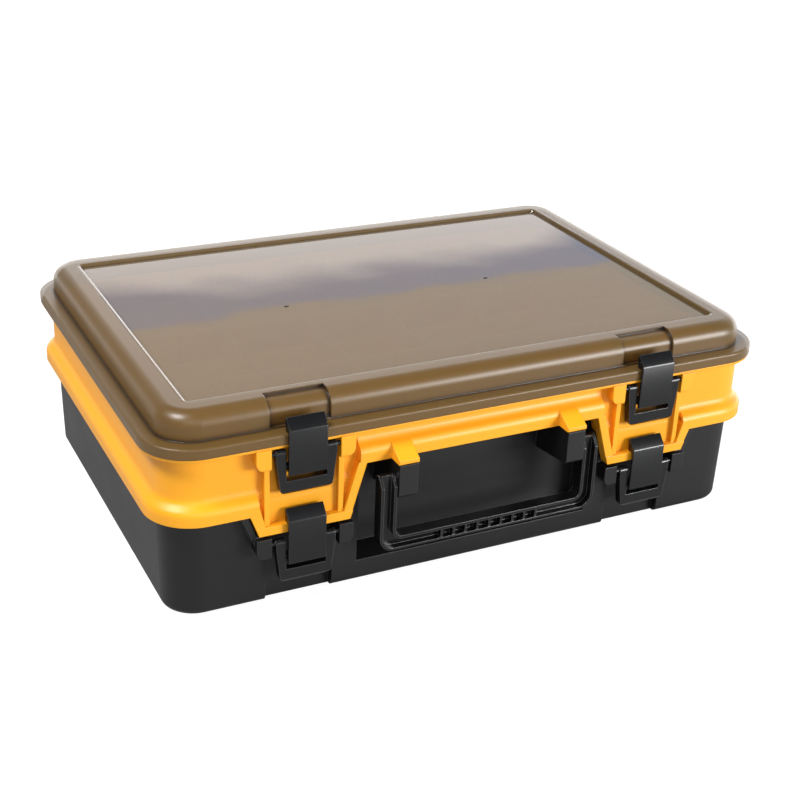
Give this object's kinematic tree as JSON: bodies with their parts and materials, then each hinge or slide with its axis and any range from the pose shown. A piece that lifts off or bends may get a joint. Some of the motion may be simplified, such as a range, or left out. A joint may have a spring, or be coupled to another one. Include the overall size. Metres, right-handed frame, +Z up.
{
  "type": "fishing tackle cabinet",
  "caption": "Two-tier tackle cabinet with a deep lower case, a divided upper tray, a see-through hinged lid, draw latches and a folding front handle.",
  "frame": {"origin": "middle of the underside, on the surface that the case stands on", "axes": "+X to the right along the front, +Y from the front to the hinges, +Z up"},
  "size_m": [0.38, 0.2767, 0.12],
  "materials": {
    "black_plastic": "fine-grained black polypropylene",
    "yellow_plastic": "satin yellow polypropylene",
    "smoke_plastic": "clear smoke-brown plastic",
    "pin_steel": "drawn steel wire"
  },
  "bodies": {
    "case": {"lower_case": "black_plastic", "tray_hinge_pin_left": "pin_steel", "tray_hinge_pin_right": "pin_steel"},
    "tray": {"upper_tray": "yellow_plastic", "lid_hinge_pin_left": "pin_steel", "lid_hinge_pin_right": "pin_steel", "front_divider_1": "yellow_plastic", "front_divider_2": "yellow_plastic", "front_divider_3": "yellow_plastic", "front_divider_4": "yellow_plastic", "middle_divider_1": "yellow_plastic", "middle_divider_2": "yellow_plastic", "middle_divider_3": "yellow_plastic", "middle_divider_4": "yellow_plastic", "middle_divider_5": "yellow_plastic", "rear_divider_1": "yellow_plastic", "rear_divider_2": "yellow_plastic", "rear_divider_3": "yellow_plastic"},
    "lid": {"lid": "smoke_plastic"},
    "handle": {"carry_handle": "black_plastic"},
    "lower_lever_left": {"lower_latch_lever_left": "black_plastic"},
    "lower_hook_left": {"lower_latch_hook_left": "black_plastic"},
    "lower_lever_right": {"lower_latch_lever_right": "black_plastic"},
    "lower_hook_right": {"lower_latch_hook_right": "black_plastic"},
    "upper_lever_left": {"upper_latch_lever_left": "black_plastic"},
    "upper_hook_left": {"upper_latch_hook_left": "black_plastic"},
    "upper_lever_right": {"upper_latch_lever_right": "black_plastic"},
    "upper_hook_right": {"upper_latch_hook_right": "black_plastic"}
  },
  "joints": [
    {"name": "tray_swing", "type": "hinge", "parent": "case", "child": "tray", "pos_m": [0, 0.1332, 0.0548], "axis": [-1, 0, 0], "range_deg": [0, 90]},
    {"name": "lid_swing", "type": "hinge", "parent": "tray", "child": "lid", "pos_m": [0, 0.1343, 0.0988], "axis": [-1, 0, 0], "range_deg": [0, 95]},
    {"name": "handle_swing", "type": "hinge", "parent": "case", "child": "handle", "pos_m": [0, -0.1345, 0.068], "axis": [-1, 0, 0], "range_deg": [0, 90]},
    {"name": "lower_lever_left_turn", "type": "hinge", "parent": "case", "child": "lower_lever_left", "pos_m": [-0.1081, -0.129, 0.0402], "axis": [-1, 0, 0], "range_deg": [0, 95]},
    {"name": "lower_hook_left_turn", "type": "hinge", "parent": "lower_lever_left", "child": "lower_hook_left", "pos_m": [-0.1081, -0.129, 0.0319], "axis": [-1, 0, 0], "range_deg": [-95, 0]},
    {"name": "lower_lever_right_turn", "type": "hinge", "parent": "case", "child": "lower_lever_right", "pos_m": [0.1081, -0.129, 0.0402], "axis": [-1, 0, 0], "range_deg": [0, 95]},
    {"name": "lower_hook_right_turn", "type": "hinge", "parent": "lower_lever_right", "child": "lower_hook_right", "pos_m": [0.1081, -0.129, 0.0319], "axis": [-1, 0, 0], "range_deg": [-95, 0]},
    {"name": "upper_lever_left_turn", "type": "hinge", "parent": "tray", "child": "upper_lever_left", "pos_m": [-0.1081, -0.129, 0.0935], "axis": [-1, 0, 0], "range_deg": [0, 95]},
    {"name": "upper_hook_left_turn", "type": "hinge", "parent": "upper_lever_left", "child": "upper_hook_left", "pos_m": [-0.1081, -0.129, 0.0852], "axis": [-1, 0, 0], "range_deg": [-95, 0]},
    {"name": "upper_lever_right_turn", "type": "hinge", "parent": "tray", "child": "upper_lever_right", "pos_m": [0.1081, -0.129, 0.0935], "axis": [-1, 0, 0], "range_deg": [0, 95]},
    {"name": "upper_hook_right_turn", "type": "hinge", "parent": "upper_lever_right", "child": "upper_hook_right", "pos_m": [0.1081, -0.129, 0.0852], "axis": [-1, 0, 0], "range_deg": [-95, 0]}
  ],
  "couplings": [
    {"joint": "lower_hook_left_turn", "follows": "lower_lever_left_turn", "ratio": -1},
    {"joint": "lower_hook_right_turn", "follows": "lower_lever_right_turn", "ratio": -1},
    {"joint": "upper_hook_left_turn", "follows": "upper_lever_left_turn", "ratio": -1},
    {"joint": "upper_hook_right_turn", "follows": "upper_lever_right_turn", "ratio": -1}
  ]
}
